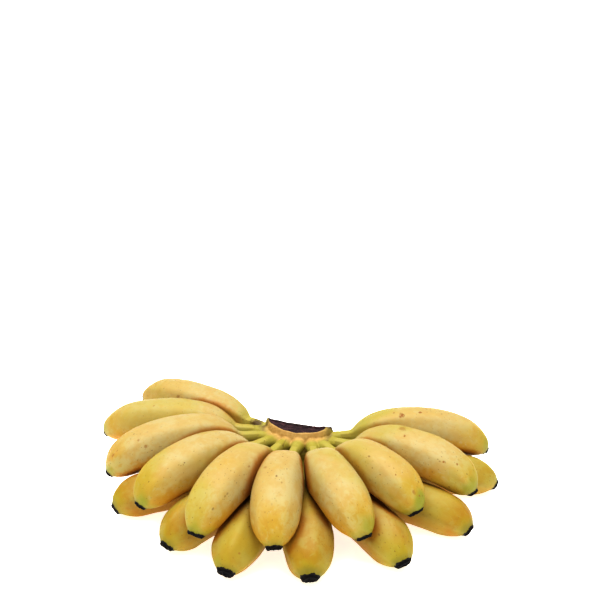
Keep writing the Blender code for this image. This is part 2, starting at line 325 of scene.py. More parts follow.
lines = {fruit.name: with_foot(fruit) for fruit in fruits}
gaps = [clearance(lines["upper_06"][0], [lines[name]]).min() for name in ("upper_05", "upper_07")]
print("room beside the line of upper_06:", [round(1000 * gap, 1) for gap in gaps], "mm")

# %% [markdown]
# ## From a grid of points to a mesh
#
# A tube is a grid: one direction runs along the fruit, the other goes round it and closes on
# itself. Four neighbouring points make a face, so the faces are four shifted copies of one array
# of row and column numbers. The two ends close on a single point each.

# %% Mesh maker
def tube_faces(rows, columns):
    """Quads between neighbouring rows of a closed tube, and fans of triangles to its two poles."""
    number = np.arange(rows * columns).reshape(rows, columns)
    near, far = number[:-1], number[1:]
    quads = np.stack([near, far, np.roll(far, -1, 1), np.roll(near, -1, 1)], -1).reshape(-1, 4)
    first, last = rows * columns, rows * columns + 1
    start = np.stack([np.full(columns, first), number[0], np.roll(number[0], -1)], 1)
    end = np.stack([np.full(columns, last), np.roll(number[-1], -1), number[-1]], 1)
    return quads, np.concatenate([start, end])


def give_attribute(mesh, key, values):
    """Stores one number or one vector on each point of a mesh."""
    values = np.asarray(values, np.float32)
    kind, slot = ("FLOAT", "value") if values.ndim == 1 else ("FLOAT_VECTOR", "vector")
    mesh.attributes.new(key, kind, "POINT").data.foreach_set(slot, values.ravel())


def mesh_object(name, points, quads, triangles, attributes=None):
    """A smooth object from points and faces, with named values on its points."""
    corners = np.concatenate([quads.ravel(), triangles.ravel()])
    sizes = np.concatenate([np.full(len(quads), 4), np.full(len(triangles), 3)])
    mesh = bpy.data.meshes.new(name)
    mesh.vertices.add(len(points))
    mesh.loops.add(len(corners))
    mesh.polygons.add(len(sizes))
    mesh.vertices.foreach_set("co", np.asarray(points, np.float32).ravel())
    mesh.loops.foreach_set("vertex_index", corners.astype(np.int32))
    mesh.polygons.foreach_set("loop_start", (np.cumsum(sizes) - sizes).astype(np.int32))
    mesh.update(calc_edges=True)
    for key, values in (attributes or {}).items():
        give_attribute(mesh, key, values)
    mesh.shade_smooth()
    obj = bpy.data.objects.new(name, mesh)
    bpy.context.scene.collection.objects.link(obj)
    return obj


def closed(values, first, last):
    """A grid's values with those of its two poles put after them."""
    return np.concatenate([values, [first], [last]])


def spokes(ahead, angles):
    """Unit vectors square to each direction of a curve, at angles that start level."""
    side = np.cross(ahead, [0, 0, 1.0])
    side /= np.linalg.norm(side, axis=1)[:, None]
    up = np.cross(side, ahead)
    return np.cos(angles)[..., None] * side[:, None] + np.sin(angles)[..., None] * up[:, None]


# %% [markdown]
# ## The fruits
#
# The section of a banana is a rounded pentagon. Its five edges are strong on the stalk and the
# shoulder, nearly gone on the belly, and come back as puckers round the blossom end. They also
# drift a little round the fruit, and no two are equally sharp. Slow waves then make every fruit
# its own shape. Each point keeps some numbers for its finish: its place on a straightened copy
# of the fruit, so that streaks can follow the bend, its distance from both ends, how hard it is
# pressed, how deep it is in a crevice, and how far it looks down.

# %% Fruit surfaces
FRUIT_ROWS, FRUIT_COLUMNS = 150, 84
EVEN_ROWS = 0.62           # the share of even spacing; the rest gathers rows at both ends
STALK_START = -0.0070      # the stalk begins this far back, inside the crown
SKIN = 0.99                # the skin's mean radius beside the solid's
RIDGES, RIDGE_HEIGHT = 5, 0.018
RIDGE_STRENGTHS = (0.70, 1.25)
CREST_NARROW, CREST_DROP = 0.3, 0.1
SPIN, SPIN_LENGTH = 0.28, 0.1          # ridges drift round by up to these radians in this length
# Where ridges stand out: height, place and width, from the root for two and from the end for one
STALK_RIDGE = (0.018, 0.012, 0.020)
SHOULDER_RIDGE = (0.022, 0.036, 0.016)
END_RIDGE = (0.026, 0.012, 0.010)
PUCKERS, PUCKER_DEPTH, PUCKER_FADE = 9, 0.035, 0.0022
WAIST = (0.03, 0.0014, 0.0009)         # depth, place and width of the neck before the blossom
LUMP_SIZE, LUMP_HEIGHT, LUMP_SINK = 0.034, 0.00035, 1.1
DIMPLE_SIZE, DIMPLE_HEIGHT = 0.0075, 0.00006
LUMP_SEED, DIMPLE_SEED = 100, 200
SMOOTH_RADIUS, SMOOTH_END = 0.012, 0.006   # thinner places and this much of the end stay smooth
APART = 0.31               # moves each fruit's pattern away from the others'
RUBBED = 0.25              # pressed in by this share of its radius, a skin is fully rubbed
LOOKS_DOWN, DOWN_SPAN = 0.45, 1.1      # the upward share of a normal below which a side begins to get painted shade


def ridge_heights(turn, from_root, to_end, seed):
    """Relief of the five edges as a share of the radius.

    A cosine with five crests plus a little of one with ten, which narrows the crests, times a
    height that is large on the stalk and shoulder and near the blossom, small on the belly.
    """
    draw = np.random.default_rng(seed)
    strength = draw.uniform(*RIDGE_STRENGTHS, RIDGES)
    drift = draw.uniform(-SPIN, SPIN) * from_root / SPIN_LENGTH
    angle = turn + drift
    crest = np.cos(RIDGES * angle) + CREST_NARROW * np.cos(2 * RIDGES * angle) - CREST_DROP
    which = (angle / (2 * math.pi / RIDGES)) % RIDGES
    uneven = np.interp(which.ravel(), np.arange(RIDGES + 1), [*strength, strength[0]])
    height = RIDGE_HEIGHT + bell(from_root, *STALK_RIDGE) + bell(from_root, *SHOULDER_RIDGE)
    return crest * uneven.reshape(which.shape) * (height + bell(to_end, *END_RIDGE))


# %% Skin of a fruit
def fruit_grid(fruit, number):
    """Skin points of a fruit as rows along it and columns round it, with what its finish needs."""
    points, ahead, length = centreline(fruit)
    total = length[-1]
    end = total - TIP_LENGTH
    s = np.linspace(0, 1, FRUIT_ROWS)
    share = EVEN_ROWS * s + (1 - EVEN_ROWS) / 2 * (1 - np.cos(math.pi * s))
    at = STALK_START + (end - STALK_START) * share
    onward = along_curve(at, length, ahead)
    centre = along_curve(at, length, points) + onward * np.minimum(at, 0)[:, None]
    radius = np.interp(at, length, fruit_radius(length, fruit))

    start = math.pi / 2 if fruit.row == "lower" else -math.pi / 2
    turn = 2 * math.pi / FRUIT_COLUMNS * np.arange(FRUIT_COLUMNS)
    from_root, to_end = at[:, None], (end - at)[:, None]
    section = SKIN + ridge_heights(turn[None, :] + 0 * from_root, from_root, to_end, number)
    pucker = np.cos(PUCKERS * turn + number) * np.exp(-to_end / PUCKER_FADE)
    section = section * (1 + PUCKER_DEPTH * pucker - bell(to_end, *WAIST))
    arm = spokes(onward, start + turn) * (radius[:, None] * section)[..., None]

    base = np.repeat(centre, FRUIT_COLUMNS, 0)
    flat = arm.reshape(-1, 3)
    own = lines[fruit.name]
    others = [line for name, line in lines.items() if name != fruit.name]
    reach = pressed_reach(base, flat, own, others)
    skin = base + reach[:, None] * flat
    outward = flat / np.linalg.norm(flat, axis=1)[:, None]
    calm = np.clip(radius / SMOOTH_RADIUS, 0, 1) * smooth_step((end - at) / SMOOTH_END)
    relief = LUMP_HEIGHT * (waves(skin, LUMP_SIZE, LUMP_SEED + number) - LUMP_SINK)
    relief += DIMPLE_HEIGHT * waves(skin, DIMPLE_SIZE, DIMPLE_SEED + number)
    skin = skin + outward * (relief * np.repeat(calm, FRUIT_COLUMNS))[:, None]
    skin[:, 2] = np.maximum(skin[:, 2], 0)

    straight = np.stack([(radius[:, None] * np.cos(turn)).ravel(),
                         (radius[:, None] * np.sin(turn)).ravel(),
                         np.repeat(at, FRUIT_COLUMNS)], 1) + APART * number
    ends = np.stack([np.repeat(at, FRUIT_COLUMNS), np.repeat(end - at, FRUIT_COLUMNS),
                     smooth_step((1 - reach) / RUBBED)], 1)
    # How deep in a crevice, how far it looks down and which row: these drive the painted shade of
    # the peel.
    crevice = 1 - smooth_step(clearance(skin, others) / (SHADE_WITHIN * CREVICE))
    below = smooth_step((LOOKS_DOWN - outward[:, 2]) / DOWN_SPAN)
    lower = np.full(len(skin), float(fruit.row == "lower"))
    return skin, straight, ends, np.stack([crevice, below, lower], 1)


# %% Make the fruits
peel_objects = {}
fruit_skins = {}
for number, fruit in enumerate(fruits, 1):
    skin, straight, ends, shade = fruit_grid(fruit, number)
    edge = FRUIT_COLUMNS
    quads, triangles = tube_faces(FRUIT_ROWS, FRUIT_COLUMNS)
    skin_all = closed(skin, skin[:edge].mean(0), skin[-edge:].mean(0))
    green = np.full(len(skin_all), np.random.default_rng(number).uniform(0, 1))
    peel_objects[fruit.name] = mesh_object(
        f"banana_{fruit.name}_skin", skin_all, quads, triangles,
        {"straight": closed(straight, straight[:edge].mean(0), straight[-edge:].mean(0)),
         "ends": closed(ends, ends[0], ends[-1]),
         "shade": closed(shade, shade[0], shade[-1]), "unripe": green})
    fruit_skins[fruit.name] = skin.reshape(FRUIT_ROWS, FRUIT_COLUMNS, 3)
print("fruit faces:", sum(len(o.data.polygons) for o in peel_objects.values()))

# %% [markdown]
# ## The dried blossoms
#
# The flower that once sat on the end of each fruit has dried to a black scab between one and two
# millimetres thick. It is as wide at its foot as the blunt end that carries it, as if the fruit's
# end had been dipped in tar. Its edge is rounded and torn, its face is sunken and crumbly round a
# little knob, the stump of the style, and no two have the same thickness or slant.

# %% Blossom stubs
STUB_ROWS, STUB_COLUMNS = 34, 56
WALL_BY, RIM_BY = 0.50, 0.70           # shares of the rows where the wall and the rim end
WALL_TAPER, RIM_ROUND = 0.12, 0.20     # what the wall and the rim take off the width
FACE_CLOSES = 0.995        # the last ring is tiny, and its pole closes it
STUB_THICKNESS, STUB_SLANT = (0.42, 0.54), 0.10      # as shares of TIP_LENGTH
WALL_SHARE = 0.62          # the wall's share of the thickness; the rim has the rest
TORN_COUNTS, TORN_WIDTH, TORN_HEIGHT = (2, 3, 5, 8, 13), 0.045, 0.08
TORN_FOOT = 0.2            # how much of the tear the foot of the wall has
STUB_SUNK, FACE_SUNK, FACE_SINKS_BY = 0.0007, 0.0007, 0.35
KNOB = (0.0008, 0.0, 0.30)             # height, place and width, out from the face's middle
CRUMB_SIZE, CRUMB_ASIDE, CRUMB_ALONG = 0.0016, 0.00016, 0.00014
STUB_SEED, CRUMB_SEED = 300, 400
STUB_CLEAR = 0.0003        # a stub hangs at least this far over the table


def stub_grid(fruit, number):
    """A stub's points: a profile of widths carried along the end of the fruit's line.

    Over the first half of the rows the wall rises. Over the next fifth the rim rounds over as a
    quarter of an ellipse. The rest goes inward over the face, which sinks by a smooth step and
    rises again as a bell round the middle. The thickness at an angle is a mean, plus a slant,
    plus a torn edge made of cosines of several counts.
    """
    draw = np.random.default_rng(STUB_SEED + number)
    points, ahead, length = centreline(fruit)
    end = length[-1] - TIP_LENGTH
    size = np.interp(end, length, fruit_radius(length, fruit))
    forward = ahead[-1]
    s = np.linspace(0, 1, STUB_ROWS)[:, None]
    turn = (2 * math.pi / STUB_COLUMNS * np.arange(STUB_COLUMNS))[None, :]
    wall = np.clip(s / WALL_BY, 0, 1)
    bend = np.clip((s - WALL_BY) / (RIM_BY - WALL_BY), 0, 1) * math.pi / 2
    face = np.clip((s - RIM_BY) / (1 - RIM_BY), 0, 1)
    phase = draw.uniform(0, 2 * math.pi, len(TORN_COUNTS))
    torn = sum(np.cos(k * turn + p) / k for k, p in zip(TORN_COUNTS, phase))
    width = 1.0 - WALL_TAPER * wall ** 2 - RIM_ROUND * (1 - np.cos(bend))
    width = width * (1 - FACE_CLOSES * face)
    width = width * (1 + TORN_WIDTH * torn * (TORN_FOOT + (1 - TORN_FOOT) * wall))
    slant = STUB_SLANT * np.cos(turn - phase[0])
    thickness = TIP_LENGTH * (draw.uniform(*STUB_THICKNESS) + slant + TORN_HEIGHT * torn)
    reach = thickness * (WALL_SHARE * wall + (1 - WALL_SHARE) * np.sin(bend))
    reach = reach - STUB_SUNK * (1 - wall) - FACE_SUNK * smooth_step(face / FACE_SINKS_BY)
    reach = reach + bell(1 - face, *KNOB)
    arm = spokes(np.repeat(forward[None], STUB_ROWS, 0), turn + 0 * s)
    place = points[-1] - forward * TIP_LENGTH
    grid = place + reach[..., None] * forward + (size * width)[..., None] * arm
    crumbs = waves(grid.reshape(-1, 3), CRUMB_SIZE, CRUMB_SEED + number).reshape(grid.shape[:2])
    grid = grid + arm * (CRUMB_ASIDE * crumbs * wall)[..., None]
    grid = grid + forward * (CRUMB_ALONG * crumbs * smooth_step(wall))[..., None]
    grid[..., 2] = np.maximum(grid[..., 2], STUB_CLEAR)
    return grid.reshape(-1, 3)


# %% Make the stubs
blossom_objects = {}
for number, fruit in enumerate(fruits, 1):
    grid = stub_grid(fruit, number)
    quads, triangles = tube_faces(STUB_ROWS, STUB_COLUMNS)
    poles = grid[:STUB_COLUMNS].mean(0), grid[-STUB_COLUMNS:].mean(0)
    blossom_objects[fruit.name] = mesh_object(
        f"blossom_{fruit.name}", closed(grid, *poles), quads, triangles)
print("blossom faces:", sum(len(o.data.polygons) for o in blossom_objects.values()))

# %% [markdown]
# ## The crown
#
# The crown is the cushion that held the fruits to the stalk. Cut across, its face is a half moon,
# and below it the rind narrows like the keel of a boat. The feet of nineteen stalks swell out of
# its sides. The keel and the feet are separate tubes that a voxel remesh melts into one skin,
# which gives soft hollows where they meet, as growth does. Relief is added to the melted skin
# afterwards: folds that run down the rind, and the torn fibres of the cut.

# %% Crown shape
# Height, half width, depth in front, how far behind the middle its ends lie, depth behind
CROWN_SECTIONS = np.array((
    (0.0130, 0.0120, 0.0050, 0.0000, 0.0030),
    (0.0170, 0.0175, 0.0090, 0.0010, 0.0040),
    (0.0230, 0.0225, 0.0115, 0.0025, 0.0050),
    (0.0300, 0.0252, 0.0130, 0.0045, 0.0055),
    (0.0355, 0.0262, 0.0122, 0.0062, 0.0055),
    (0.0400, 0.0272, 0.0100, 0.0082, 0.0055),
    (0.0430, 0.0256, 0.0080, 0.0088, 0.0050),
))
CROWN_ROWS, CROWN_COLUMNS = 60, 120
HALF_MOON = 1.2            # a higher power makes the outline's ends more pointed
PLUMP = (0.0035, 0.0275, 0.0055)       # how far the rind swells between the stalks, and where
CUT_RIM, CUT_DEPTH, BED_SAG = 0.0013, 0.0013, 1.2
CUT_TILT, TILT_POWER = 3.0, 4          # the cut tilts by these degrees, the rind below less
# How far the rim and the bed lie inside the outline, in rim widths, and the bed's middle as a share
RIM_INSET, BED_INSET = np.array([2, 1, 2, 1]), np.array([4, 1.5, 3, 1.5])
BED_MIDDLE = (0.5, 0.5, 0.6, 0.5)
RIM_LIFT, LIFTS_FROM, LIFTS_OVER = 0.0010, 0.038, 0.004    # gives back what smoothing takes
FOOT_ROWS, FOOT_COLUMNS = 16, 20
COLLAR = 0.0060            # how far a foot clasps the root of its stalk
# How far behind the root of its stalk, and a foot's radius there as a share of the stalk's
FOOT_BACK = (-COLLAR, -0.8 * COLLAR, 0.0, 0.003, 0.009)
FOOT_SHARE = (0.90, 1.08, 1.20, 1.30, 1.60)
FOOT_START = FOOT_DEPTH + 0.002
VOXEL, SOFTEN, SOFTEN_ROUNDS = 0.00042, 0.5, 9


def half_moon(angle, sizes):
    """Outline of the crown at one height: half width times the sine of the angle along X, and
    on Y the ends' place less a power of the cosine in front, or plus one behind."""
    half_width, front, ends, back = (sizes[..., k] for k in range(4))
    bulge = np.abs(np.cos(angle)) ** HALF_MOON
    y = ends + np.where(np.cos(angle) > 0, -(front + ends), back - ends) * bulge
    return half_width * np.sin(angle), y


def crown_body():
    """The keel and the sunken cut face as one tube of half moons."""
    angle = -2 * math.pi / CROWN_COLUMNS * np.arange(CROWN_COLUMNS)[None, :]
    height = np.linspace(CROWN_SECTIONS[0, 0], CROWN_SECTIONS[-1, 0], CROWN_ROWS)
    sizes = np.stack([np.interp(height, CROWN_SECTIONS[:, 0], column)
                      for column in CROWN_SECTIONS[:, 1:].T], 1)
    sizes[:, 1] += bell(height, *PLUMP)
    rim, bed = sizes[-1] - CUT_RIM * RIM_INSET, sizes[-1] - CUT_RIM * BED_INSET
    sizes = np.concatenate([sizes, [rim, bed, bed * BED_MIDDLE]])[:, None, :]
    sunk = CUT_DEPTH * np.array([0, 1, BED_SAG])
    height = np.concatenate([height, height[-1] - sunk])
    height = height + RIM_LIFT * rise(height, LIFTS_FROM, LIFTS_OVER)
    x, y = half_moon(angle, sizes)
    share = (height[:, None] / CROWN_SECTIONS[-1, 0]) ** TILT_POWER
    lean = math.tan(math.radians(CUT_TILT)) * share
    return np.stack([CROWN_X + x, CROWN_Y + y, height[:, None] + y * lean], -1)


# %% Feet of the stalks
def foot_tube(fruit):
    """A stalk's foot: a cone from inside the crown, and a collar that clasps the stalk's root."""
    points, ahead, length = centreline(fruit)
    back = np.linspace(FOOT_START, -COLLAR, FOOT_ROWS)
    radius = fruit_radius(length, fruit)[0] * np.interp(back, FOOT_BACK, FOOT_SHARE)
    turn = 2 * math.pi / FOOT_COLUMNS * np.arange(FOOT_COLUMNS)
    arm = spokes(np.repeat(ahead[:1], FOOT_ROWS, 0), turn) * radius[:, None, None]
    middle = np.stack([np.interp(-back, length, column) for column in points.T], 1)
    return (middle - ahead[0] * np.maximum(back, 0)[:, None])[:, None] + arm


# %% Melt them into one skin
def melt(name, grids):
    """Joins closed tubes into one skin: a voxel remesh, then a few rounds of smoothing."""
    points, quads, triangles, offset = [], [], [], 0
    for grid in grids:
        rows, columns = grid.shape[:2]
        q, t = tube_faces(rows, columns)
        points.append(closed(grid.reshape(-1, 3), grid[0].mean(0), grid[-1].mean(0)))
        quads.append(q + offset)
        triangles.append(t + offset)
        offset += rows * columns + 2
    rough = mesh_object(name, np.concatenate(points), np.concatenate(quads),
                        np.concatenate(triangles))
    remesh = rough.modifiers.new("melt", "REMESH")
    remesh.mode = "VOXEL"
    remesh.voxel_size = VOXEL
    soften = rough.modifiers.new("soften", "SMOOTH")
    soften.factor = SOFTEN
    soften.iterations = SOFTEN_ROUNDS
    graph = bpy.context.evaluated_depsgraph_get()
    mesh = bpy.data.meshes.new_from_object(rough.evaluated_get(graph))
    rough.modifiers.clear()
    rough.data = mesh
    mesh.shade_smooth()
    return rough


crown = melt("crown_skin", [crown_body(), *(foot_tube(fruit) for fruit in fruits)])
print("crown faces:", len(crown.data.polygons))

# %% [markdown]
# ## Relief on the crown
#
# The melted skin is read back as arrays. How far a point lies inside the rim of the cut decides
# whether it belongs to the cut face, and that share is stored for the finish. Folds then run down
# the rind, fibres cross the cut, and both sag a little.

# %% Cut face or rind
CUT_ASIDE, ROLLED = -0.0010, 0.0026    # the rind rolls in over the front and right of the cut
# Where each share begins to rise from 0, and over what length or what part of a normal
LOOKS_UP, NEAR_CUT, NEAR_RIM = (0.35, 0.3), (-0.0016, 0.001), (-0.0012, 0.0010)
INSIDE_RIM, BELOW_CUT = (0.0, 0.0007), (-0.0042, 0.0015)
BACK_LIP, BACK_OVER = 0.35, 0.002      # behind, skin that looks up less is still cut face


def read_points(mesh, key):
    """A mesh's coordinates or normals as an array with one row for each point."""
    values = np.empty(len(mesh.vertices) * 3, np.float32)
    mesh.vertices.foreach_get(key, values)
    return values.reshape(-1, 3).astype(float)


def cut_share(places, upward):
    """1 on the cut face and 0 on the rind.

    A point is on the cut when it is inside the half moon's rim, or when its skin looks up, and
    in both cases only near the plane of the cut.
    """
    x, y, z = (places - [CROWN_X + CUT_ASIDE, CROWN_Y, 0]).T
    inset = [2 * CUT_RIM, ROLLED, CUT_RIM, CUT_RIM]
    half_width, front, ends, back = CROWN_SECTIONS[-1, 1:] - inset
    bulge = np.sqrt(np.clip(1 - (x / half_width) ** 2, 0, 1)) ** HALF_MOON
    inside = np.minimum(y - ends + (front + ends) * bulge, ends + (back - ends) * bulge - y)
    plane = CROWN_SECTIONS[-1, 0] + y * math.tan(math.radians(CUT_TILT))
    behind = BACK_LIP * rise(y, ends, BACK_OVER)
    top = rise(upward + behind, *LOOKS_UP) * rise(z - plane, *NEAR_CUT) * rise(inside, *NEAR_RIM)
    return np.maximum(rise(inside, *INSIDE_RIM) * rise(z - plane, *BELOW_CUT), top)


# %% Crown relief
FOLD_SIZE, FOLD_HEIGHT, FOLD_SQUEEZE = 0.0060, 0.00010, (1, 1, 0.16)
FIBRE_SIZE, FIBRE_HEIGHT, ACROSS_SQUEEZE = 0.0016, 0.00022, (0.35, 1, 1)
LUMPS_SIZE, LUMPS_SHARE, RIND_GRAIN = 0.0032, 0.6, 0.00003
SLUMP_SIZE, SLUMP_HEIGHT, SLUMP_MEAN = 0.017, 0.0003, 0.3
FOLD_SEED, FIBRE_SEED, LUMPS_SEED, SLUMP_SEED = 501, 502, 503, 504
points = read_points(crown.data, "co")
normals = read_points(crown.data, "normal")
cut = cut_share(points, normals[:, 2])
from_crown = points - [CROWN_X, CROWN_Y, 0]
folds = waves(from_crown * FOLD_SQUEEZE, FOLD_SIZE, FOLD_SEED)
grain = waves(from_crown * ACROSS_SQUEEZE, FIBRE_SIZE, FIBRE_SEED)
grain += LUMPS_SHARE * waves(from_crown, LUMPS_SIZE, LUMPS_SEED)
slump = waves(from_crown, SLUMP_SIZE, SLUMP_SEED)
relief = (1 - cut) * (FOLD_HEIGHT * folds + RIND_GRAIN * grain) + cut * FIBRE_HEIGHT * grain
relief += SLUMP_HEIGHT * (slump - SLUMP_MEAN)
points += normals * relief[:, None]
crown.data.vertices.foreach_set("co", points.astype(np.float32).ravel())
give_attribute(crown.data, "cut", cut)
crown.data.update()
print("crown: cut face", round(100 * cut.mean()), "percent of its points")

# %% [markdown]
# ## Shader maths in plain Python
#
# A material is a graph of nodes. Wrapping a socket in a small class lets an expression such as
# `1 - mask * 0.5` add its Math nodes by itself. Every other node comes from one method, which
# sets the node's settings first and then its sockets.

# %% Sockets as numbers
class Value:
    """A socket that can be added, multiplied and compared like a number."""

    def __init__(self, finish, socket):
        self.finish, self.socket = finish, socket

    def maths(self, operation, *values):
        """Adds a Math node that works on the values."""
        return self.finish.node("Math", {"operation": operation}, dict(enumerate(values)))

    def __add__(self, other):
        return self.maths("ADD", self, other)

    def __radd__(self, other):
        return self.maths("ADD", other, self)

    def __sub__(self, other):
        return self.maths("SUBTRACT", self, other)

    def __rsub__(self, other):
        return self.maths("SUBTRACT", other, self)

    def __mul__(self, other):
        return self.maths("MULTIPLY", self, other)

    def __rmul__(self, other):
        return self.maths("MULTIPLY", other, self)

    def __truediv__(self, other):
        return self.maths("DIVIDE", self, other)

    def __abs__(self):
        return self.maths("ABSOLUTE", self)

    def at_least(self, other):
        """The larger of two values."""
        return self.maths("MAXIMUM", self, other)

    def between(self, low, high):
        """0 below low, 1 above high, and a smooth rise from one to the other."""
        return self.finish.node("MapRange", {"interpolation_type": "SMOOTHSTEP"},
                                {"Value": self, "From Min": low, "From Max": high})


# %% Finishes
SPOT_CORE, SPOT_EDGE = 0.25, 0.90      # a spot is full out to the first share of its size


class Finish:
    """A material with a Principled shader, and the words that add nodes to it."""

    def __init__(self, name):
        self.material = bpy.data.materials.new(name)
        self.material.use_nodes = True
        self.tree = self.material.node_tree
        self.shader = self.tree.nodes["Principled BSDF"]

    def node(self, kind, settings=None, sockets=None, out=0):
        """Adds a node: its settings first, then the values or links of its sockets."""
        made = self.tree.nodes.new("ShaderNode" + kind)
        for key, value in (settings or {}).items():
            setattr(made, key, value)
        for key, value in (sockets or {}).items():
            self.plug(made.inputs[key], value)
        return Value(self, made.outputs[out])

    def plug(self, socket, value):
        """Links a wrapped socket, or sets a plain value."""
        if isinstance(value, Value):
            self.tree.links.new(value.socket, socket)
        elif isinstance(value, tuple) and socket.type == "RGBA":
            socket.default_value = (*value, 1.0)
        else:
            socket.default_value = value

    def mix(self, share, first, second, blend="MIX"):
        """A colour between two, or the second laid over the first in another blend mode."""
        return self.node("Mix", {"data_type": "RGBA", "blend_type": blend},
                         {0: share, 6: first, 7: second}, out=2)

    def scaled(self, vector, factors, shift=(0.0, 0.0, 0.0)):
        """A vector times three factors, plus a shift."""
        return self.node("VectorMath", {"operation": "MULTIPLY_ADD"},
                         {0: vector, 1: factors, 2: shift})

    def noise(self, vector, size, detail=2.0, roughness=0.5, distortion=0.0):
        """Soft noise whose features are about size across, in metres."""
        return self.node("TexNoise", {"noise_dimensions": "3D"},
                         {"Vector": vector, "Scale": 0.5 / size, "Detail": detail,
                          "Roughness": roughness, "Distortion": distortion})

    def cells(self, vector, size, out="Distance"):
        """Distance to the nearest of many scattered points about size apart, in units of size."""
        return self.node("TexVoronoi", {"feature": "F1"},
                         {"Vector": vector, "Scale": 1.0 / size}, out=out)

    def attribute(self, name, out="Vector"):
        """What a mesh keeps on its points under a name."""
        return self.node("Attribute", {"attribute_name": name}, out=out)

    def places(self, vector, fray, spots):
        """1 near any of several spots, given by place, size and strength, and 0 away from them.

        The distance to a spot as a share of its size, with the noise fray added so that the edge
        is ragged, goes through a smooth step; the strongest spot counts.
        """
        mask = None
        for spot, size, strength in spots:
            point = tuple(float(v) for v in spot)
            away = self.node("VectorMath", {"operation": "DISTANCE"}, {0: vector, 1: point},
                             out="Value")
            here = (1 - (away / size + fray).between(SPOT_CORE, SPOT_EDGE)) * strength
            mask = here if mask is None else mask.at_least(here)
        return mask

    def parts(self, vector):
        """The three numbers of a vector."""
        split = self.node("SeparateXYZ", sockets={0: vector}).socket.node
        return [Value(self, split.outputs[k]) for k in range(3)]

    def bump(self, height, strength, distance):
        """The normal of a relief: heights from 0 to 1 stand for a distance in metres."""
        return self.node("Bump", sockets={"Strength": strength, "Distance": distance,
                                          "Height": height}, out="Normal")

    def finish_with(self, **sockets):
        """Fills the shader's sockets, whose names are written with underlines for spaces."""
        for key, value in sockets.items():
            self.plug(self.shader.inputs[key.replace("_", " ")], value)
        return self.material


# %% [markdown]
# ## The peel, and what it reads
#
# The look of a peel changes along the fruit, so most of its patterns read the numbers that the
# mesh keeps on its points. The straightened place lets streaks bend with the fruit. A painted
# image could do the same, but numbers and noise stay sharp from close by and need no file.

# %% What the peel reads
PATCH_SIZE, BLOTCH_SIZE, DRIFT_SIZE, FRAY_SIZE = 0.0050, 0.0022, 0.011, 0.0016
PATCH_WANDER, DRIFT_WANDER = 0.012, 0.022    # how far noise moves the edges of the zones


def read_peel(f):
    """The numbers kept on the mesh, and the noises that several parts of the look share."""
    p = types.SimpleNamespace()
    p.straight = f.attribute("straight")
    p.from_root, p.to_end, p.rubbed = f.parts(f.attribute("ends"))
    p.crevice, p.below, p.lower = f.parts(f.attribute("shade"))
    p.unripe = f.attribute("unripe", "Fac")
    p.place = f.node("TexCoord", out="Object")
    p.patch = f.noise(p.straight, PATCH_SIZE, detail=4.0, roughness=0.6)
    p.blotch = f.noise(p.straight, BLOTCH_SIZE, detail=3.0, roughness=0.6, distortion=0.6)
    p.drift = f.noise(p.straight, DRIFT_SIZE, detail=2.0)
    p.fray = f.noise(p.place, FRAY_SIZE, detail=4.0, roughness=0.7)
    p.ragged = (p.patch - 0.5) * PATCH_WANDER + (p.drift - 0.5) * DRIFT_WANDER
    return p


# %% [markdown]
# ## Many yellows
#
# Ripe peel is golden yellow, but never one yellow. Slow noise moves it between gold and a pale
# yellow, patches and blotches are deeper, and fine streaks run with the fibres.

# %% Yellows
GOLD = (0.520, 0.338, 0.056)
PALE = (0.516, 0.423, 0.198)
AMBER = (0.490, 0.285, 0.036)
BROAD_SIZE = 0.016
STREAK_SIZE, STREAK_SQUEEZE = 0.0006, (1.0, 1.0, 0.06)


def yellows(f, p):
    """Gold to pale by slow noise, then amber patches, amber and pale blotches, and streaks."""
    broad = f.noise(p.straight, BROAD_SIZE, detail=3.0)
    colour = f.mix(broad.between(0.40, 0.62), GOLD, PALE)
    colour = f.mix(p.patch.between(0.46, 0.62) * 0.70, colour, AMBER)
    colour = f.mix(p.blotch.between(0.50, 0.64) * 0.55, colour, AMBER)
    colour = f.mix((1 - p.blotch.between(0.32, 0.46)) * 0.60, colour, PALE)
    streak = f.noise(f.scaled(p.straight, STREAK_SQUEEZE), STREAK_SIZE, detail=3.0)
    return f.mix(streak.between(0.5, 0.75) * 0.16, colour, AMBER)


# %% [markdown]
# ## Light and shade painted on the peel
#
# The top of a fruit is painted paler, as a painted highlight. Its ends and its sides are painted
# a deeper orange, as painted shade, and the crevices between fruits get brown painted shade. The
# lower row is painted a deeper yellow, as painted shade from the upper row.

# %% Light and shade
# Colours and tints of painted shade: the sides, the crevices, the ends and the lower row
SIDE_SHADE_ORANGE = (0.540, 0.272, 0.018)
CREVICE_SHADE_BROWN = (0.420, 0.165, 0.012)
END_SHADE_TINT = (0.92, 0.92, 0.58)
LOWER_ROW_SHADE = (0.82, 0.76, 0.50)


def painted_light_and_shade(f, p, colour):
    """Painted light and shade: pale highlight on top, darker ends, orange sides, brown crevices."""
    # The end of each fruit is painted darker: painted shade where it faces away from the light.
    end_shade = 1 - (p.to_end + p.ragged).between(0.003, 0.034)
    # The top is painted pale: a painted highlight where the light falls from above.
    top = (1 - (p.below + (p.drift - 0.5) * 0.5).between(0.00, 0.32)) * (1 - end_shade)
    colour = f.mix(top * 0.58, colour, PALE)
    colour = f.mix(end_shade * 0.80, colour, END_SHADE_TINT, blend="MULTIPLY")
    # Sides that look down get orange painted shade.
    side_shade = (p.below + (p.drift - 0.5) * 0.6).between(0.10, 0.80)
    colour = f.mix(side_shade * 0.75, colour, SIDE_SHADE_ORANGE)
    # Crevices between fruits get brown painted shade.
    crevice_shade = (p.crevice + (p.patch - 0.5) * 0.8).between(0.05, 0.85)
    colour = f.mix(crevice_shade * 0.80, colour, CREVICE_SHADE_BROWN)
    # The whole lower row is painted darker: painted shade from the upper row.
    return f.mix(p.lower, colour, LOWER_ROW_SHADE, blend="MULTIPLY")


